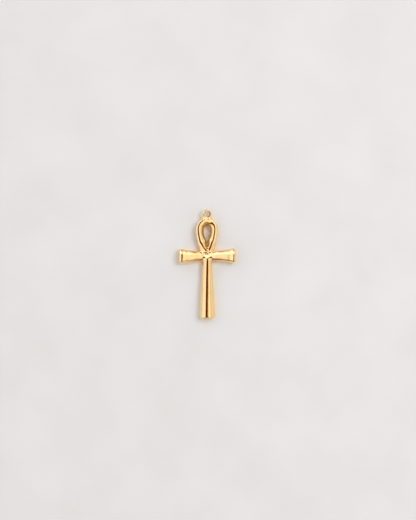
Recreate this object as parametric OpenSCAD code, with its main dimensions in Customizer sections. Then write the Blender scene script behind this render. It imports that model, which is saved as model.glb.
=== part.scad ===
// Ankh pendant, cast in one piece: an eye, a teardrop loop, two flared arms and a flared stem.
// It lies on its back. X runs across the arms, Y up the stem to the eye, Z out of the front.

/* [Stem] */
// Length from the axis of the arms to the foot
stem_len = 13.1; // [9:0.1:20]
// Width that the stem tapers to at the axis of the arms
stem_root_w = 1.8; // [1.4:0.02:2.2]
// Width of the foot, before its edge is rounded
stem_foot_w = 3.38; // [2.6:0.02:4.4]

/* [Arms] */
// Span from tip to tip
arm_span = 12.1; // [9:0.1:16]
// Width of the arms at the crossing
arm_root_w = 1.96; // [1.6:0.02:2.4]
// Width of each tip, before its edge is rounded
arm_tip_w = 3.34; // [2.6:0.02:4.2]

/* [Ends] */
// Thickness of the tips and the foot, front to back
end_t = 2.5; // [2:0.05:3.2]
// Radius of the rounded edge round each tip and the foot
end_round = 0.45; // [0.2:0.05:0.7]

/* [Loop] */
// Width of the loop, between the crests of its two sides
loop_w = 3.52; // [3.2:0.02:4.2]
// Height of the widest place of the loop, where the half circle of its top begins
widest_rise = 5.5; // [5.3:0.02:5.6]
// Radius of the long side curves, along the crest
side_r = 6.8; // [6:0.1:7.4]
// Angle between each branch and the stem where the branches meet
branch_lean = 30; // [27:0.5:31]
// Thickness of the loop, front to back
bead_t = 1.4; // [1.2:0.02:1.6]
// Distance from the crest to the inner edge of the loop
inner_reach = 0.96; // [0.85:0.01:1.05]
// Thickness of the haunch that widens each branch where it meets the arms
haunch_t = 1.24; // [1.1:0.02:1.36]
// Distance of the outer side of each haunch from the stem's axis, at the axis of the arms
haunch_side = 1.29; // [1.2:0.01:1.4]
// Angle between the outer side of each haunch and the stem
haunch_lean = 13.7; // [12:0.1:15]
// Height where each haunch runs out into the side of the loop
haunch_rise = 3.7; // [3.2:0.05:4]

/* [Eye] */
// Height of the middle of the eye above the axis of the arms
eye_rise = 8.78; // [8.6:0.02:10.6]
// Outer diameter of the eye
eye_d = 2.1; // [1.9:0.02:2.6]
// Diameter of the hole
hole_d = 1.2; // [0.8:0.02:1.3]
// Thickness of the eye and its neck
eye_t = 1.0; // [0.8:0.02:1.2]
// Radius of the hollow corner between the neck and the top of the loop
neck_hollow = 0.35; // [0.2:0.05:0.5]

/* [Hidden] */
GOLD = "goldenrod";
fine = 720;
$fn = 128;
bead_r = bead_t / 2;
eye_r = eye_d / 2;
arm_len = arm_span / 2;

// The side of an arm is an arc that bows in, narrowest at the crossing
arm_rise = (arm_tip_w - arm_root_w) / 2;
arm_side_r = (arm_len * arm_len + arm_rise * arm_rise) / (2 * arm_rise);
arm_side_x = arm_root_w / 2 + arm_side_r;
// Middle of the rounding at a tip, which touches the tip and the side arc
arm_edge_y = arm_len - end_round;
arm_edge_x = arm_side_x - sqrt(pow(arm_side_r + end_round, 2) - arm_edge_y * arm_edge_y);
// The side of the stem is straight, and its rounding touches the foot and that side
stem_lean = atan((stem_foot_w - stem_root_w) / 2 / stem_len);
stem_edge_y = stem_len - end_round;
stem_edge_x = stem_root_w / 2 + stem_edge_y * tan(stem_lean) - end_round / cos(stem_lean);

// Each limb is a round body pressed flat, until its thickest place has the thickness of the ends
arm_flat = end_t / 2 / (arm_edge_x + end_round);
stem_flat = end_t / 2 / (stem_edge_x + end_round);

// The part is centred on its box, with its lowest points at zero
axis_y = (stem_len - eye_rise - eye_r) / 2;
mid_z = end_t / 2;

// Half of the outline of an arm: radius along X, distance from the crossing along Y
module arm_outline() {
    share = end_round / (arm_side_r + end_round);
    leave_x = arm_edge_x + share * (arm_side_x - arm_edge_x);
    leave_y = arm_edge_y * (1 - share);
    difference() {
        square([leave_x, leave_y]);
        translate([arm_side_x, 0]) circle(r = arm_side_r, $fn = fine);
    }
    polygon([[0, leave_y], [leave_x, leave_y], [arm_edge_x, arm_edge_y], [arm_edge_x, arm_len], [0, arm_len]]);
    translate([arm_edge_x, arm_edge_y]) circle(r = end_round);
}

// Half of the outline of the stem, in the same way
module stem_outline() {
    leave = [stem_edge_x + end_round * cos(stem_lean), stem_edge_y - end_round * sin(stem_lean)];
    polygon([[0, 0], [stem_root_w / 2, 0], leave, [stem_edge_x, stem_edge_y], [stem_edge_x, stem_len], [0, stem_len]]);
    translate([stem_edge_x, stem_edge_y]) circle(r = end_round);
}

module stem() {
    color(GOLD)
    scale([1, 1, stem_flat])
    rotate([90, 0, 0])
    rotate_extrude() stem_outline();
}

module arms() {
    color(GOLD)
    scale([1, 1, arm_flat])
    for (side = [-1, 1])
        rotate([0, side * 90, 0])
        rotate_extrude() arm_outline();
}

// Section of the loop: a round bead and a steep wall that runs in to the inner edge, at the given radius
module bead(at = 0) {
    touch_x = bead_r * bead_r / inner_reach;
    touch_y = bead_r * sqrt(1 - pow(bead_r / inner_reach, 2));
    translate([at, 0]) {
        circle(r = bead_r);
        polygon([[-inner_reach, 0], [-touch_x, touch_y], [-touch_x, -touch_y]]);
    }
}

// The crest line: half a circle over the top, then on each side a long curve and a straight branch
loop_r = loop_w / 2;
loop_rise = widest_rise + loop_r;
branch_x = loop_r - side_r * (1 - cos(branch_lean));
branch_y = widest_rise - side_r * sin(branch_lean);
// The branches run on past the middle, so that their ends are buried in the crossing
branch_len = branch_x / sin(branch_lean) + bead_r;
haunch_x = haunch_side - haunch_t / 2 / cos(haunch_lean);

module half_loop() {
    translate([loop_r - side_r, widest_rise, 0])
        mirror([0, 1, 0]) rotate_extrude(angle = branch_lean) bead(side_r);
    translate([branch_x, branch_y, 0])
        rotate([0, 0, -branch_lean]) rotate([90, 0, 0]) linear_extrude(branch_len) bead();
    translate([haunch_x, 0, 0])
        rotate([-90, 0, -haunch_lean]) cylinder(d = haunch_t, h = haunch_rise / cos(haunch_lean));
}

module loop() {
    color(GOLD) {
        translate([0, widest_rise, 0]) rotate_extrude(angle = 180) bead(loop_r);
        half_loop();
        mirror([1, 0, 0]) half_loop();
    }
}

// The eye and its neck share one rounded edge: half a circle of their thickness
edge_x = eye_r - eye_t / 2;
// The hollow corner touches the side of the neck and the outside of the loop's top
hollow_x = eye_r + neck_hollow;
hollow_reach = loop_r + bead_r + neck_hollow;
hollow_rise = sqrt(hollow_reach * hollow_reach - hollow_x * hollow_x);
hollow_turn = atan2(hollow_rise, hollow_x);

module eye_edge() {
    translate([edge_x, 0]) circle(d = eye_t);
    translate([0, -eye_t / 2]) square([edge_x, eye_t]);
}

module half_neck() {
    translate([0, eye_rise, 0])
        rotate([90, 0, 0]) linear_extrude(eye_rise - loop_rise) eye_edge();
    translate([hollow_x, widest_rise + hollow_rise, 0])
        rotate([0, 0, 180]) rotate_extrude(angle = hollow_turn)
        translate([neck_hollow + eye_t / 2, 0]) circle(d = eye_t);
}

module eye() {
    color(GOLD) {
        translate([0, eye_rise, 0]) rotate_extrude() eye_edge();
        half_neck();
        mirror([1, 0, 0]) half_neck();
    }
}

module ankh() {
    color(GOLD)
    translate([0, axis_y, mid_z])
    difference() {
        union() {
            stem();
            arms();
            loop();
            eye();
        }
        translate([0, eye_rise, -end_t]) cylinder(d = hole_d, h = 2 * end_t);
    }
}

ankh();
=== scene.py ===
"""Ankh pendant: polished gold plate over cast brass, lying on a pale studio floor.

The casting is one smooth cage. A quarter of it is drawn as a sheet, mirrored across the width and
the thickness, and smoothed by subdivision. Lengths here are in millimetres, measured from the place
where the arms cross the stem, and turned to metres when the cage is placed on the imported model.
"""

import logging
import math
from collections.abc import Sequence
from dataclasses import dataclass
from enum import Enum

import bmesh
import bpy
from mathutils import Matrix, Vector


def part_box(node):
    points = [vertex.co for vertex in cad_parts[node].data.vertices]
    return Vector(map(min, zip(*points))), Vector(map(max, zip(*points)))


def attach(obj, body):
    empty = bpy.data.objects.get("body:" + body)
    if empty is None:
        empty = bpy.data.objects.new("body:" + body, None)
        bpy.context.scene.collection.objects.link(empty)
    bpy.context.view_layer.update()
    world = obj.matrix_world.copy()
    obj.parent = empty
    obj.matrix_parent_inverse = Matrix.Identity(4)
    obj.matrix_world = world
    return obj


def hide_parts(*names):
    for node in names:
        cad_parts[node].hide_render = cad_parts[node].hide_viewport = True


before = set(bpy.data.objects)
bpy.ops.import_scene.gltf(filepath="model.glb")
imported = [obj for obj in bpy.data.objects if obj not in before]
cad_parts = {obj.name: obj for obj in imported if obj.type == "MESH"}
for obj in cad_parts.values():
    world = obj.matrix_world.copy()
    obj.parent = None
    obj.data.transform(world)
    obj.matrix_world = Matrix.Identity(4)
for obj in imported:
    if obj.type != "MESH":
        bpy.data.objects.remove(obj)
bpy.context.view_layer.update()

LOG = logging.getLogger("ankh")
MM = 0.001
# Places of the cage that are nearer to each other than this are one
TOUCH = 0.001
# Heights in one row of a new grid agree to this many decimals
ROW_DIGITS = 4
# Settings of a Map Range node that eases in and out
EASED = {"interpolation_type": "SMOOTHSTEP"}

Span = tuple[float, float]
Point = tuple[float, float, float]
Colour = tuple[float, float, float, float]
Stops = tuple[tuple[float, str], ...]
Chain = list[bmesh.types.BMVert]
Input = float | Sequence[float] | bpy.types.Node | bpy.types.NodeSocket


def linear(hex_colour: str) -> Colour:
    """Turn an sRGB colour into linear light.

    Args:
        hex_colour: the colour, as # and six hex digits.

    Returns:
        Its linear red, green, blue and alpha.
    """
    channels = [int(hex_colour[i : i + 2], 16) / 255 for i in (1, 3, 5)]
    straight = [c / 12.92 if c <= 0.04045 else ((c + 0.055) / 1.055) ** 2.4 for c in channels]
    return (*straight, 1.0)


def show(name: str, data: bpy.types.ID) -> bpy.types.Object:
    """Make an object and link it to the scene.

    Args:
        name: the object's name.
        data: its mesh, camera or light.

    Returns:
        The object.
    """
    thing = bpy.data.objects.new(name, data)
    bpy.context.scene.collection.objects.link(thing)
    return thing


def show_mesh(name: str, bm: bmesh.types.BMesh, material: bpy.types.Material) -> bpy.types.Object:
    """Make an object of a finished bmesh, and free the bmesh.

    Args:
        name: the name of the object and of its mesh.
        bm: the shape, in metres.
        material: its finish.

    Returns:
        The object.
    """
    mesh = bpy.data.meshes.new(name)
    bm.to_mesh(mesh)
    bm.free()
    mesh.materials.append(material)
    return show(name, mesh)


class Tip(Enum):
    """How the end of a limb is rounded.

    Each ring has its way back from the end, and what it takes off the half width and half thickness.
    """

    CRISP = ((0.42, 0.0, 0.0), (0.12, 0.13, 0.13), (0.0, 0.45, 0.45))
    SOFT = ((0.78, 0.05, 0.05), (0.26, 0.07, 0.098), (0.0, 0.42, 0.51))


class Sheet:
    """A quarter of the casting, drawn as a sheet of quads that grows chain by chain."""

    def __init__(self) -> None:
        """Start with nothing drawn."""
        self.bm = bmesh.new()

    def patch(self, rows: Sequence[Sequence[Point]]) -> list[Chain]:
        """Make the first patch.

        Args:
            rows: the places of its corners, row by row upward, each row from the middle outward.

        Returns:
            The rows of its vertices in the same order.
        """
        across, up = len(rows[0]), len(rows)
        made = bmesh.ops.create_grid(self.bm, x_segments=across - 1, y_segments=up - 1, size=1.0)
        verts = sorted(made["verts"], key=lambda v: (round(v.co.y, ROW_DIGITS), v.co.x))
        chains = [verts[i * across : (i + 1) * across] for i in range(up)]
        for chain, places in zip(chains, rows):
            self.put(chain, places)
        return chains

    def put(self, chain: Chain, places: Sequence[Point]) -> None:
        """Set a chain of vertices to the given places."""
        for vert, place in zip(chain, places):
            vert.co = place

    def grow(self, chain: Chain, places: Sequence[Point]) -> Chain:
        """Extrude a chain of edges by one row of faces.

        Args:
            chain: neighbouring vertices, in order.
            places: where the new vertices go, in the same order.

        Returns:
            The new vertices, in the same order.
        """
        edges = [self.bm.edges.get(pair) for pair in zip(chain, chain[1:])]
        made = bmesh.ops.extrude_edge_only(self.bm, edges=edges)["geom"]
        fresh = {item for item in made if isinstance(item, bmesh.types.BMVert)}
        new = []
        for vert in chain:
            ends = (edge.other_vert(vert) for edge in vert.link_edges)
            new.append(next(end for end in ends if end in fresh))
        self.put(new, places)
        return new

    def sprout(self, vert: bmesh.types.BMVert, place: Point) -> bmesh.types.BMVert:
        """Draw one edge out of a vertex.

        Args:
            vert: where the edge starts.
            place: where it ends.

        Returns:
            The vertex at its end.
        """
        made = bmesh.ops.extrude_vert_indiv(self.bm, verts=[vert])
        made["verts"][0].co = place
        return made["verts"][0]

    def close(self) -> None:
        """Mirror the quarter across the thickness and the width, and cap the ends of the limbs."""
        for axis in ("Z", "X"):
            geom = self.bm.verts[:] + self.bm.edges[:] + self.bm.faces[:]
            bmesh.ops.mirror(self.bm, geom=geom, axis=axis, merge_dist=TOUCH)
            bmesh.ops.remove_doubles(self.bm, verts=self.bm.verts[:], dist=TOUCH)
        rims = [edge for edge in self.bm.edges if edge.is_boundary]
        bmesh.ops.holes_fill(self.bm, edges=rims, sides=0)
        bmesh.ops.recalc_face_normals(self.bm, faces=self.bm.faces[:])

    def settle(self, rounds: int) -> None:
        """Move the cage until the smooth surface passes through the places that its vertices had.

        Args:
            rounds: how often the rest of the way is made up.
        """
        wanted = {vert: vert.co.copy() for vert in self.bm.verts}
        for _ in range(rounds):
            middles = {face: face.calc_center_median() for face in self.bm.faces}
            steps = {vert: place - self.smooth_place(vert, middles)
                     for vert, place in wanted.items()}
            for vert, step in steps.items():
                vert.co += step

    @staticmethod
    def smooth_place(vert: bmesh.types.BMVert,
                     middles: dict[bmesh.types.BMFace, Vector]) -> Vector:
        """Find where endless subdivision would bring a vertex.

        Args:
            vert: a vertex of a closed cage.
            middles: the middle of each face.

        Returns:
            Its place on the smooth surface.
        """
        count = len(vert.link_edges)
        faces = sum((middles[face] for face in vert.link_faces), Vector())
        ends = [edge.other_vert(vert).co for edge in vert.link_edges]
        halves = sum(((vert.co + end) / 2 for end in ends), Vector())
        point = (faces + 2 * halves + (count - 3) * count * vert.co) / count / count
        edges = Vector()
        for edge in vert.link_edges:
            sides = sum((middles[face] for face in edge.link_faces), Vector())
            edges += (vert.co + edge.other_vert(vert).co + sides) / 4
        return (count * count * point + 4 * edges + faces) / (count * (count + 5))


@dataclass(frozen=True)
class Limb:
    """An arm or the stem: an oval bar that widens and thickens to its end.

    Each ring has its distance from the crossing, its half width and its half thickness. The end has
    the half width and half thickness that its rounding starts from.
    """

    length: float
    rings: tuple[Point, ...]
    end: Span
    tip: Tip = Tip.CRISP

    def stations(self) -> list[Point]:
        """List the limb's rings with those of its rounded end.

        Returns:
            Distance, half width and half thickness of each ring, outward.
        """
        wide, thick = self.end
        rounding = [(self.length - back, wide - in_w, thick - in_t)
                    for back, in_w, in_t in self.tip.value]
        return [*self.rings, *rounding]


@dataclass(frozen=True)
class Stem(Limb):
    """The long limb, which runs down from the crossing.

    Its crown, a quarter of its section from the top to the side, is a little fuller than an ellipse.
    Each point has its share of the half width and of the half thickness.
    """

    length: float = 13.07
    rings: tuple[Point, ...] = (
        (2.3, 1.038, 0.785), (4.2, 1.154, 0.87), (6.4, 1.287, 0.965), (8.6, 1.42, 1.065),
        (10.7, 1.547, 1.16), (12.0, 1.625, 1.20))
    end: Span = (1.66, 1.215)
    crown: tuple[Span, ...] = (
        (0.0, 1.0), (0.31, 0.972), (0.60, 0.842), (0.82, 0.61), (0.955, 0.32), (1.0, 0.0))

    def build(self, sheet: Sheet, chain: Chain) -> None:
        """Grow the stem from the lower row of the crossing."""
        for down, wide, thick in self.stations():
            chain = sheet.grow(chain, [(wide * x, -down, thick * z) for x, z in self.crown])


@dataclass(frozen=True)
class Arm(Limb):
    """A short limb, which runs out sideways from the crossing.

    The section at the left tip is a little fuller than an ellipse: its heights, as shares of the half
    thickness, are raised to the power of the fullness.
    """

    length: float = 5.995
    rings: tuple[Point, ...] = (
        (2.15, 1.06, 0.806), (3.2, 1.17, 0.937), (4.3, 1.332, 1.075), (4.95, 1.452, 1.156))
    end: Span = (1.595, 1.24)
    fullness: float = 0.8

    def build(self, sheet: Sheet, chain: Chain) -> None:
        """Grow the arm.

        Args:
            sheet: the sheet to grow.
            chain: the outer column of the crossing, upward.
        """
        gaps = len(chain) - 1
        turns = [math.radians(180 * i / gaps - 90) for i in range(len(chain))]
        for out, wide, thick in self.stations():
            places = [(out, wide * math.sin(turn), thick * math.cos(turn)) for turn in turns]
            chain = sheet.grow(chain, places)

    def finish_left(self, bm: bmesh.types.BMesh, tip: Tip) -> None:
        """Give the left arm another tip.

        Args:
            bm: the mirrored cage, with the same tip on both sides.
            tip: the left arm's tip.
        """
        wide, thick = self.end
        for (back, in_w, in_t), (new_back, new_w, new_t) in zip(self.tip.value, tip.value):
            ring = [vert for vert in bm.verts if abs(vert.co.x + self.length - back) < TOUCH]
            for vert in ring:
                if abs(vert.co.z) > TOUCH:
                    vert.co.z *= (abs(vert.co.z) / (thick - in_t)) ** (self.fullness - 1)
            shrink = (1.0, (wide - new_w) / (wide - in_w), (thick - new_t) / (thick - in_t))
            bmesh.ops.scale(bm, vec=shrink, verts=ring)
            bmesh.ops.translate(bm, vec=(new_back - back, 0.0, 0.0), verts=ring)


@dataclass(frozen=True)
class Crossing:
    """Where the arms pass over the stem, with a shallow valley before the loop's branches.

    Each row has its height, then the places of its points across and their heights off the middle.
    """

    rows: tuple[tuple[float, tuple[float, ...], tuple[float, ...]], ...] = (
        (-0.985, (0.0, 0.30, 0.56, 0.77, 0.91, 0.956), (0.755, 0.733, 0.645, 0.46, 0.24, 0.0)),
        (-0.86, (0.0, 0.28, 0.54, 0.76, 0.91, 1.0), (0.738, 0.717, 0.655, 0.55, 0.44, 0.345)),
        (-0.5, (0.0, 0.27, 0.53, 0.77, 0.98, 1.1), (0.685, 0.665, 0.64, 0.61, 0.585, 0.58)),
        (0.0, (0.0, 0.22, 0.44, 0.70, 1.0, 1.2), (0.55, 0.545, 0.54, 0.57, 0.63, 0.69)),
        (0.48, (0.0, 0.15, 0.32, 0.58, 1.00, 1.33), (0.465, 0.458, 0.43, 0.46, 0.555, 0.60)),
        (0.83, (0.0, 0.10, 0.20, 0.34, 0.82, 1.43), (0.57, 0.575, 0.57, 0.545, 0.46, 0.34)),
        (1.0, (0.0, 0.10, 0.18, 0.34, 0.87, 1.52), (0.62, 0.635, 0.64, 0.62, 0.50, 0.0)),
    )

    def build(self, sheet: Sheet) -> list[Chain]:
        """Make the patch and return its rows of vertices."""
        return sheet.patch([[(x, y, z) for x, z in zip(xs, zs)] for y, xs, zs in self.rows])


@dataclass(frozen=True)
class Loop:
    """The teardrop loop: a crest line with a round outer flank and a steep inner wall.

    Each point of the wall and the flank has its share of the way from the crest to the edge, and its
    share of the crest's height off the middle. The trunk is where both branches are still one, and
    the fork is its last row. Each side section has its inner edge, its crest and its outer edge.
    """

    crest_z: float = 0.70
    wall: tuple[Span, ...] = ((1.0, 0.0), (0.70, 0.67), (0.40, 0.915), (0.12, 0.990))
    flank: tuple[Span, ...] = ((0.20, 0.984), (0.78, 0.78), (1.0, 0.0))
    trunk: tuple[tuple[Point, ...], ...] = (
        ((0.0, 1.32, 0.655), (0.14, 1.36, 0.66), (0.30, 1.39, 0.668), (0.47, 1.30, 0.658),
         (1.0, 1.33, 0.55), (1.61, 1.36, 0.0)),
        ((0.0, 1.76, 0.10), (0.28, 1.83, 0.55), (0.56, 1.78, 0.70), (0.74, 1.69, 0.70),
         (1.17, 1.69, 0.60), (1.70, 1.73, 0.0)),
    )
    fork: tuple[Point, ...] = (
        (0.0, 2.35, 0.08), (0.52, 2.61, 0.56), (0.95, 2.51, 0.70), (1.14, 2.42, 0.70),
        (1.47, 2.27, 0.575), (1.81, 2.12, 0.0))
    crotch: Point = (0.0, 2.8, 0.0)
    sides: tuple[tuple[Span, Span, Span], ...] = (
        ((0.17, 3.13), (1.21, 2.83), (1.91, 2.53)),
        ((0.38, 3.60), (1.39, 3.25), (2.02, 2.98)),
        ((0.54, 4.27), (1.57, 4.00), (2.20, 3.84)),
        ((0.66, 4.86), (1.71, 4.75), (2.35, 4.68)),
        ((0.71, 5.42), (1.765, 5.45), (2.40, 5.46)),
        ((0.69, 5.80), (1.71, 6.22), (2.22, 6.37)),
        ((0.54, 6.12), (1.37, 6.90), (1.76, 7.20)),
        ((0.30, 6.28), (0.86, 7.24), (1.30, 7.64)),
    )

    def ring(self, inner: Span, crest: Span, outer: Span) -> list[Point]:
        """Place one section of the loop, with a narrow flat along its crest.

        Args:
            inner: the inner edge, at half the thickness.
            crest: the middle of the highest line.
            outer: the outer edge, at half the thickness.

        Returns:
            Seven places from the inner to the outer edge.
        """
        places = []
        for end, side in ((inner, self.wall), (outer, self.flank)):
            for share, height in side:
                x, y = (mid + (edge - mid) * share for mid, edge in zip(crest, end))
                places.append((x, y, self.crest_z * height))
        return places

    def build(self, sheet: Sheet, chain: Chain) -> Chain:
        """Grow the trunk, the fork and the side of the loop, up to the corner of the neck.

        Args:
            sheet: the sheet to grow.
            chain: the upper row of the crossing.

        Returns:
            The last ring.
        """
        for places in (*self.trunk, self.fork):
            chain = sheet.grow(chain, places)
        chain = [sheet.sprout(chain[0], self.crotch), *chain]
        for side in self.sides:
            chain = sheet.grow(chain, self.ring(*side))
        return chain


@dataclass(frozen=True)
class Eye:
    """The neck on top of the loop and the pierced eye that a jump ring goes through.

    The top is the last two sections of the loop, under the neck. The tracks round the hole go from
    the outer edge to the hole's wall, and each has its radius and its height off the middle.
    """

    top: tuple[tuple[Point, ...], ...] = (
        ((0.15, 6.33, 0.0), (0.21, 6.60, 0.42), (0.27, 6.90, 0.64), (0.34, 7.18, 0.70),
         (0.42, 7.36, 0.695), (0.52, 7.56, 0.665), (0.64, 7.75, 0.62)),
        ((0.0, 6.34, 0.0), (0.0, 6.61, 0.42), (0.0, 6.92, 0.64), (0.0, 7.22, 0.70),
         (0.0, 7.40, 0.69), (0.0, 7.58, 0.655), (0.0, 7.75, 0.62)),
    )
    neck: tuple[Point, ...] = ((0.0, 7.91, 0.588), (0.74, 8.02, 0.525), (1.06, 8.1, 0.0))
    centre: float = 8.78
    radii: tuple[float, ...] = (1.045, 0.91, 0.74, 0.64, 0.60)
    heights: tuple[float, ...] = (0.0, 0.37, 0.455, 0.40, 0.0)
    swell: float = 0.18

    def build(self, sheet: Sheet, ring: Chain) -> None:
        """Grow the top of the loop, the neck and the ring round the hole.

        Args:
            sheet: the sheet to grow.
            ring: the last ring of the loop's side, where the neck's corner is.
        """
        corner = ring[-1]
        beside = sheet.grow(ring, self.top[0])
        middle = sheet.grow(beside, self.top[1])
        low = sheet.grow([middle[-1], beside[-1], corner], self.neck)
        strip, chain = low[:2], [low[2], low[1]]
        tracks = range(len(self.radii))
        for track in tracks[len(chain):]:
            strip = sheet.grow(strip, [self.place(-90, track), self.place(-45, track)])
            chain.append(strip[1])
        for angle in (0, 45, 90):
            chain = sheet.grow(chain, [self.place(angle, track) for track in tracks])

    def place(self, angle: float, track: int) -> Point:
        """Place a point of the ring round the hole, which thickens toward the neck.

        Args:
            angle: the point's angle, in degrees from the right.
            track: the number of its track.

        Returns:
            The place.
        """
        turn = math.radians(angle)
        radius = self.radii[track]
        height = self.heights[track] * (1 - self.swell * math.sin(turn))
        return (radius * math.cos(turn), self.centre + radius * math.sin(turn), height)


@dataclass(frozen=True)
class Twist:
    """The slight turn of the hand-finished casting about its stem, and its front's lean to the left.

    Each step has a height, the turn there in degrees and how far the front leans for each millimetre
    of its own height. In the rows of the arms only what lies within their root follows.
    """

    steps: tuple[Point, ...] = (
        (-14.0, 5.5, 0.11), (-11.3, 5.0, 0.11), (-5.0, 3.2, 0.07), (-1.0, 0.0, 0.0),
        (0.3, 0.0, 0.0), (1.15, 5.0, 0.0), (1.9, 3.0, 0.22), (3.0, 2.5, 0.16),
        (6.2, 3.2, 0.12), (7.4, 9.0, 0.10), (8.4, 6.8, 0.08), (10.5, 6.8, 0.0))
    arm_rows: float = 1.8
    arm_root: float = 1.9

    def at(self, height: float) -> Span:
        """Find the turn and the lean at a height, eased from one step to the next.

        Args:
            height: the height above the axis of the arms.

        Returns:
            The turn in degrees, and the lean.
        """
        for (low, *start), (high, *end) in zip(self.steps, self.steps[1:]):
            if low <= height <= high:
                share = (height - low) / (high - low)
                eased = share * share * (3 - 2 * share)
                return tuple(a + (b - a) * eased for a, b in zip(start, end))
        return 0.0, 0.0

    def apply(self, bm: bmesh.types.BMesh) -> None:
        """Turn and lean each vertex by its height.

        Args:
            bm: the settled cage.
        """
        for vert in bm.verts:
            if abs(vert.co.y) < self.arm_rows and abs(vert.co.x) > self.arm_root:
                continue
            degrees, lean = self.at(vert.co.y)
            shift = (-lean * max(vert.co.z, 0.0), 0.0, 0.0)
            bmesh.ops.translate(bm, verts=[vert], vec=shift)
            turn = Matrix.Rotation(math.radians(degrees), 3, "Y")
            bmesh.ops.rotate(bm, verts=[vert], cent=(0.0, 0.0, 0.0), matrix=turn)


@dataclass(frozen=True)
class Dab:
    """A mark of handwork on the front: a low swell, or a dimple where the rise is negative."""

    middle: Span
    reach: Span
    rise: float

    def apply(self, bm: bmesh.types.BMesh) -> None:
        """Raise the front's vertices near the middle of the dab, less with their distance.

        Args:
            bm: the mirrored cage, before it is settled.
        """
        for vert in bm.verts:
            off_x, off_y = (c - mid for c, mid in zip(vert.co, self.middle))
            away = math.hypot(off_x / self.reach[0], off_y / self.reach[1])
            if away < 1.0 and vert.co.z > TOUCH:
                lift = self.rise * (1 - away * away) ** 2
                bmesh.ops.translate(bm, vec=(0.0, 0.0, lift), verts=[vert])


class Graph:
    """A node tree with one way to add a node."""

    def __init__(self, tree: bpy.types.NodeTree) -> None:
        """Take over a tree and empty it."""
        self.tree = tree
        tree.nodes.clear()

    def add(self, kind: str, inputs: dict[str, Input] | Sequence[Input] = (), stops: Stops = (),
            **settings: object) -> bpy.types.Node:
        """Add a node.

        Args:
            kind: the node's type, without the words ShaderNode.
            inputs: its inputs by name, or else its open ones in order. Each is a value, a socket to
                link from, or a node whose first open output is linked.
            stops: place and hex colour of each stop, for a colour ramp.
            settings: its own settings by name.

        Returns:
            The node.
        """
        node = self.tree.nodes.new("ShaderNode" + kind)
        for name, value in settings.items():
            setattr(node, name, value)
        if stops:
            band = node.color_ramp.elements
            while len(band) < len(stops):
                band.new(0.5)
            for element, (place, colour) in zip(band, stops):
                element.position = place
                element.color = linear(colour)
        if isinstance(inputs, dict):
            pairs = [(node.inputs[name], value) for name, value in inputs.items()]
        else:
            pairs = zip([socket for socket in node.inputs if socket.enabled], inputs)
        for socket, value in pairs:
            if isinstance(value, bpy.types.Node):
                value = next(output for output in value.outputs if output.enabled)
            if isinstance(value, bpy.types.NodeSocket):
                self.tree.links.new(value, socket)
            else:
                socket.default_value = value
        return node


@dataclass(frozen=True)
class ShadedRecess:
    """A hollow that the buffing wheel doesn't reach, left satin, with shade painted into it as a
    darker,
    browner colour: an upright oval column, in millimetres.

    The edge is the depth, as a share, at which its satin and painted shade start and at which they
    are whole.
    """

    middle: Span
    radii: Span
    # Painted shade: the darker, browner colour laid into the hollow in place of the shade that falls
    # there
    tone: str
    edge: Span = (0.07, 0.16)

    def share(self, g: Graph, here: bpy.types.NodeSocket, base: Vector) -> bpy.types.Node:
        """Draw how much satin and painted shade a point has in this hollow.

        Args:
            g: the material's nodes.
            here: the point's place.
            base: where the middle of the pendant's crossing lies, in metres.

        Returns:
            One inside the hollow, falling softly to nothing at its edge.
        """
        centre = base + Vector((*self.middle, 0.0)) * MM
        stretch = Vector((1 / self.radii[0] / MM, 1 / self.radii[1] / MM, 0.0))
        offset = tuple(-c * k for c, k in zip(centre, stretch))
        oval = g.add("Mapping", {"Vector": here, "Location": offset, "Scale": stretch})
        depth = g.add("TexGradient", {"Vector": oval}, gradient_type="SPHERICAL").outputs["Fac"]
        return g.add("MapRange", (depth, *self.edge), **EASED)


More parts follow.
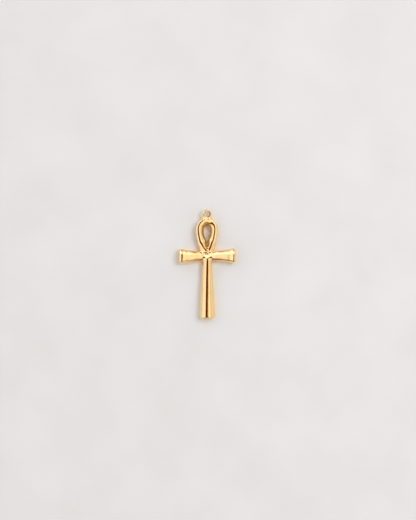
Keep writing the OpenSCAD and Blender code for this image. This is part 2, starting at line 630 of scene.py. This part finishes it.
@dataclass(frozen=True)
class GoldPlate:
    """Yellow gold electroplated over cast brass and buffed by hand.

    The plate gives the warm mirror, the buffing fine straight scratches that widen each highlight,
    and the casting under it a very low, slow waviness that makes the highlights' edges wander. In the
    hole and in the opening of the loop the plate stays satin, as it came from the bath, and its
    colour there is painted darker and browner as shade.
    Real buffing scratches are nearer a hundredth of a millimetre wide, and are drawn coarser here, so
    that they show in a close view.
    """

    name: str = "gold_plate"
    # Cloudiness of the plate's tone
    bright: str = "#FFE4AE"
    deep: str = "#FBDCA5"
    cloud_mm: float = 3.0
    cloud_detail: float = 3.0
    cloud_limits: Span = (0.3, 0.62)
    # Scratches: their spacing, how much they are drawn out, and their turn in radians
    scratch_mm: float = 0.05
    scratch_detail: float = 2.0
    scratch_stretch: float = 0.08
    scratch_turn: float = 0.35
    scratch_limits: Span = (0.35, 0.75)
    scratch_relief: float = 0.08
    scratch_depth_mm: float = 0.002
    # Waviness of the casting
    wave_mm: float = 0.9
    wave_detail: float = 1.0
    wave_relief: float = 0.1
    wave_depth_mm: float = 0.006
    # Roughness between the scratches and in them, and where the wheel doesn't reach
    roughness: Span = (0.07, 0.14)
    satin_roughness: float = 0.38
    # Hollows: satin roughness, and a darker, browner colour painted in as their shade
    shaded_recesses: tuple[ShadedRecess, ...] = (
        ShadedRecess((0.14, 8.78), (0.72, 0.76), "#9A6C3A"),
        ShadedRecess((-0.05, 5.2), (1.3, 2.25), "#CDA66C"),
        ShadedRecess((0.1, 3.1), (0.55, 1.45), "#CDA66C"))

    def build(self, base: Vector) -> bpy.types.Material:
        """Make the material.

        Args:
            base: where the middle of the pendant's crossing lies, in metres.

        Returns:
            The material.
        """
        material = bpy.data.materials.new(self.name)
        material.use_nodes = True
        g = Graph(material.node_tree)
        here = g.add("TexCoord").outputs["Object"]
        clouds = g.add("TexNoise", {"Vector": here, "Scale": 1 / (self.cloud_mm * MM),
                                    "Detail": self.cloud_detail})
        drawn_out = g.add("Mapping", {"Vector": here, "Scale": (1.0, self.scratch_stretch, 1.0),
                                      "Rotation": (0.0, 0.0, self.scratch_turn)})
        scratches = g.add("TexNoise", {"Vector": drawn_out, "Scale": 1 / (self.scratch_mm * MM),
                                       "Detail": self.scratch_detail})
        waves = g.add("TexNoise", {"Vector": here, "Scale": 1 / (self.wave_mm * MM),
                                   "Detail": self.wave_detail})
        tones = tuple(zip(self.cloud_limits, (self.deep, self.bright)))
        colour = g.add("ValToRGB", (clouds,), stops=tones)
        matt = 0.0
        for recess in self.shaded_recesses:
            inside = recess.share(g, here, base)
            # Paint the hollow's shade into the colour
            colour = g.add("Mix", (inside, colour, linear(recess.tone)), data_type="RGBA")
            matt = g.add("Math", (matt, inside), operation="MAXIMUM")
        polish = g.add("MapRange", (scratches, *self.scratch_limits, *self.roughness), **EASED)
        rough = g.add("Mix", (matt, polish, self.satin_roughness), data_type="FLOAT")
        low = g.add("Bump", {"Height": waves, "Strength": self.wave_relief,
                             "Distance": self.wave_depth_mm * MM})
        fine = g.add("Bump", {"Height": scratches, "Strength": self.scratch_relief,
                              "Distance": self.scratch_depth_mm * MM, "Normal": low})
        shader = g.add("BsdfPrincipled", {"Base Color": colour, "Metallic": 1.0,
                                          "Roughness": rough, "Normal": fine})
        g.add("OutputMaterial", {"Surface": shader})
        return material


@dataclass(frozen=True)
class PaleFloor:
    """A matt painted board: an even pale tone with a faint cloudiness and a fine tooth.

    Where little of the room reaches the board, close to the gold and through its openings, a warm and
    lighter tint is painted into its colour: painted bounce light from the gold.
    """

    name: str = "pale_floor"
    # Cloudiness of the paint's tone
    light: str = "#CED1D6"
    shade: str = "#CACCD0"
    cloud_mm: float = 14.0
    cloud_limits: Span = (0.3, 0.7)
    # Painted bounce light, a warm tint: how far round a point the room is looked for, and how open it
    # may be
    painted_bounce: str = "#F2E8D6"
    warm_mm: float = 2.2
    warm_limits: Span = (0.9, 0.2)
    warm_samples: int = 8
    # Tooth of the board
    tooth_mm: float = 0.6
    tooth_relief: float = 0.15
    tooth_depth_mm: float = 0.05
    detail: float = 2.0
    roughness: float = 0.9
    specular: float = 0.2

    def build(self) -> bpy.types.Material:
        """Make the material.

        Returns:
            The material.
        """
        material = bpy.data.materials.new(self.name)
        material.use_nodes = True
        g = Graph(material.node_tree)
        here = g.add("TexCoord").outputs["Object"]
        clouds = g.add("TexNoise", {"Vector": here, "Scale": 1 / (self.cloud_mm * MM),
                                    "Detail": self.detail})
        tooth = g.add("TexNoise", {"Vector": here, "Scale": 1 / (self.tooth_mm * MM),
                                   "Detail": self.detail})
        tones = tuple(zip(self.cloud_limits, (self.shade, self.light)))
        board = g.add("ValToRGB", (clouds,), stops=tones)
        # Painted bounce light: where the room is hidden, the board's colour turns warmer and lighter
        room = g.add("AmbientOcclusion", {"Distance": self.warm_mm * MM}, samples=self.warm_samples)
        closed = g.add("MapRange", (room.outputs["AO"], *self.warm_limits), **EASED)
        colour = g.add("Mix", (closed, board, linear(self.painted_bounce)), data_type="RGBA")
        bump = g.add("Bump", {"Height": tooth, "Strength": self.tooth_relief,
                              "Distance": self.tooth_depth_mm * MM})
        shader = g.add("BsdfPrincipled", {"Base Color": colour, "Roughness": self.roughness,
                                          "Specular IOR Level": self.specular, "Normal": bump})
        g.add("OutputMaterial", {"Surface": shader})
        return material


@dataclass
class Pendant:
    """The casting: its forms in one cage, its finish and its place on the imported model.

    The axis of the arms lies axis_rise above the foot. The cage settles in some rounds, and is
    subdivided by some levels.
    """

    crossing: Crossing = Crossing()
    stem: Stem = Stem()
    arm: Arm = Arm()
    left_tip: Tip = Tip.SOFT
    loop: Loop = Loop()
    eye: Eye = Eye()
    twist: Twist = Twist()
    dabs: tuple[Dab, ...] = (
        Dab((-0.30, 1.0), (0.46, 0.75), 0.035), Dab((0.30, 1.0), (0.46, 0.75), -0.035))
    axis_rise: float = 13.1
    rounds: int = 12
    levels: int = 3

    def cage(self) -> bmesh.types.BMesh:
        """Draw, mirror and settle the cage, then give it the marks of handwork.

        Returns:
            The cage, in millimetres.
        """
        sheet = Sheet()
        rows = self.crossing.build(sheet)
        self.stem.build(sheet, rows[0])
        self.arm.build(sheet, [row[-1] for row in rows])
        ring = self.loop.build(sheet, rows[-1])
        self.eye.build(sheet, ring)
        sheet.close()
        self.arm.finish_left(sheet.bm, self.left_tip)
        for dab in self.dabs:
            dab.apply(sheet.bm)
        sheet.settle(self.rounds)
        self.twist.apply(sheet.bm)
        return sheet.bm

    def middle(self) -> Vector:
        """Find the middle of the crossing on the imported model.

        Returns:
            Its place, in metres.
        """
        low, high = (Vector(corner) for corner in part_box("ankh"))
        return Vector(((low.x + high.x) / 2, low.y + self.axis_rise * MM, (low.z + high.z) / 2))

    def smooth(self, casting: bpy.types.Object) -> None:
        """Turn the casting's cage into its smooth surface.

        Args:
            casting: the casting, with the cage as its mesh.
        """
        subdivision = casting.modifiers.new("smooth", "SUBSURF")
        subdivision.levels = self.levels
        subdivision.render_levels = self.levels
        shown = casting.evaluated_get(bpy.context.evaluated_depsgraph_get())
        casting.data = bpy.data.meshes.new_from_object(shown)
        casting.modifiers.clear()

    def build(self, finish: GoldPlate) -> bpy.types.Object:
        """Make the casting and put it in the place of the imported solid.

        Args:
            finish: its surface.

        Returns:
            The casting.
        """
        bm = self.cage()
        middle = self.middle()
        bmesh.ops.scale(bm, vec=(MM, MM, MM), verts=bm.verts[:])
        bmesh.ops.translate(bm, vec=middle, verts=bm.verts[:])
        for face in bm.faces:
            face.smooth = True
        casting = show_mesh("ankh_casting", bm, finish.build(middle))
        self.smooth(casting)
        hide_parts("ankh")
        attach(casting, "root")
        return casting


@dataclass(frozen=True)
class Studio:
    """The pale floor, one soft light and the camera above.

    The frame is frame_height_px high, at px millimetres a pixel. The camera leans and rolls by some
    degrees. The light's energy is in watts.
    """

    px: float = 0.21
    frame_height_px: int = 520
    distance: float = 400.0
    lean: float = 4.5
    roll: float = 0.5
    aim: Point = (0.17, 0.785, 1.25)
    sensor: float = 36.0
    clip: Span = (10.0, 10000.0)
    floor_reach: float = 2000.0
    light_size: float = 350.0
    light_place: Point = (200.0, 120.0, 500.0)
    light_energy: float = 1.5

    def camera(self) -> None:
        """Place the camera at the photograph's angle."""
        data = bpy.data.cameras.new("camera")
        camera = show("camera", data)
        leaning = Matrix.Rotation(-math.radians(self.lean), 4, "Y")
        turn = leaning @ Matrix.Rotation(-math.radians(self.roll), 4, "Z")
        back = turn @ Vector((0.0, 0.0, self.distance * MM))
        camera.matrix_world = Matrix.Translation(Vector(self.aim) * MM + back) @ turn
        data.sensor_width = self.sensor
        data.lens = self.sensor * self.distance / (self.frame_height_px * self.px)
        data.clip_start, data.clip_end = (reach * MM for reach in self.clip)
        bpy.context.scene.camera = camera

    def floor(self, finish: PaleFloor) -> bpy.types.Object:
        """Lay the floor under the part.

        Args:
            finish: its surface.

        Returns:
            The floor.
        """
        bm = bmesh.new()
        bmesh.ops.create_grid(bm, x_segments=1, y_segments=1, size=self.floor_reach * MM)
        floor = show_mesh("floor", bm, finish.build())
        return floor

    def light(self) -> None:
        """Hang the light on the right, where it shows in no reflection and only shades the floor."""
        data = bpy.data.lights.new("soft_light", "AREA")
        data.shape = "DISK"
        data.size = self.light_size * MM
        data.energy = self.light_energy
        light = show("soft_light", data)
        light.location = Vector(self.light_place) * MM
        light.rotation_euler = light.location.to_track_quat("Z", "Y").to_euler()
        light.visible_glossy = False


@dataclass(frozen=True)
class Zone:
    """A zone of the surroundings between two soft borders.

    Each border has the place where the zone is nothing and the place where it is whole.
    """

    borders: tuple[Span, Span]

    def share(self, g: Graph, ways: Sequence[Input]) -> bpy.types.Node:
        """Draw how much of the zone shows in a direction.

        Args:
            g: the world's nodes.
            ways: how far the direction goes along the way that each border cuts.

        Returns:
            One inside the zone, falling softly to nothing past its borders.
        """
        fades = [g.add("MapRange", (way, *border), **EASED)
                 for way, border in zip(ways, self.borders)]
        return g.add("Math", fades, operation="MULTIPLY")


@dataclass(frozen=True)
class Surroundings:
    """The soft light round the part: pale walls, a bright far side and a dark strip overhead.

    A direction goes from -1 to 1 along each axis. The wall and the near side change their tone from
    left to right, from 0 to 1. The bright far side cuts into the strip and its warm fringe from their
    left.
    """

    wall: Stops = (
        (0.0, "#F6ECE4"), (0.42, "#FFFFFF"), (0.6, "#FFFDF8"), (0.76, "#FBF3E4"),
        (0.86, "#CFC2A6"), (0.94, "#E6DCC8"), (1.0, "#F6EEE0"))
    # The strip and its fringe, from left to right
    strip_tone: str = "#552408"
    strip: Zone = Zone(((-0.12, -0.05), (0.26, 0.18)))
    fringe_tone: str = "#B46A30"
    fringe: Zone = Zone(((-0.16, -0.10), (0.295, 0.25)))
    # The far side, from near to far, and how deep it cuts at its start and past it
    far_side: Zone = Zone(((0.3, 0.5), (0.92, 0.84)))
    cut_from: Span = (0.5, 0.62)
    cut_reach: Span = (0.5, 0.15)
    # The near side, which stops at the right
    near: Stops = ((0.54, "#4E3018"), (0.62, "#D2B288"), (0.7, "#EAD4B6"))
    near_side: Zone = Zone(((-0.88, -0.96), (0.7, 0.45)))
    # The room's lower edge, just above the floor
    edge_tone: str = "#A0805E"
    edge_from: Span = (0.3, 0.02)
    edge_share: Span = (0.0, 0.6)
    # The light grows toward the far side
    light_from: Span = (0.2, 0.6)
    light_strength: Span = (1.12, 1.5)

    def build(self) -> None:
        """Make them the scene's world."""
        world = bpy.data.worlds.new("studio")
        bpy.context.scene.world = world
        world.use_nodes = True
        g = Graph(world.node_tree)
        x, y, z = g.add("SeparateXYZ", (g.add("TexCoord").outputs["Generated"],)).outputs
        across = g.add("MapRange", (x, -1.0, 1.0))
        reach = g.add("MapRange", (y, *self.cut_from, *self.cut_reach), **EASED)
        cut = g.add("Math", (self.far_side.share(g, (y, y)), reach), operation="MULTIPLY")
        inward = g.add("Math", (x, cut), operation="SUBTRACT")
        tone = g.add("ValToRGB", (across,), stops=self.wall)
        for zone, dark in ((self.fringe, self.fringe_tone), (self.strip, self.strip_tone)):
            share = zone.share(g, (inward, x))
            tone = g.add("Mix", (share, tone, linear(dark)), data_type="RGBA")
        near = g.add("ValToRGB", (across,), stops=self.near)
        tone = g.add("Mix", (self.near_side.share(g, (y, x)), tone, near), data_type="RGBA")
        edge = g.add("MapRange", (z, *self.edge_from, *self.edge_share), **EASED)
        tone = g.add("Mix", (edge, tone, linear(self.edge_tone)), data_type="RGBA")
        strength = g.add("MapRange", (y, *self.light_from, *self.light_strength), **EASED)
        g.add("OutputWorld", {"Surface": g.add("Background", {"Color": tone, "Strength": strength})})


def main() -> None:
    """Build the studio and the pendant in it, and report each piece."""
    logging.basicConfig(level=logging.INFO, format="%(name)s: %(message)s")
    studio = Studio()
    studio.camera()
    floor = studio.floor(PaleFloor())
    studio.light()
    Surroundings().build()
    # The picture shows the colours as they are, with no film curve
    bpy.context.scene.view_settings.view_transform = "Standard"
    casting = Pendant().build(GoldPlate())
    for piece in (floor, casting):
        LOG.info("%s has %d faces", piece.name, len(piece.data.polygons))


if __name__ == "__main__":
    main()
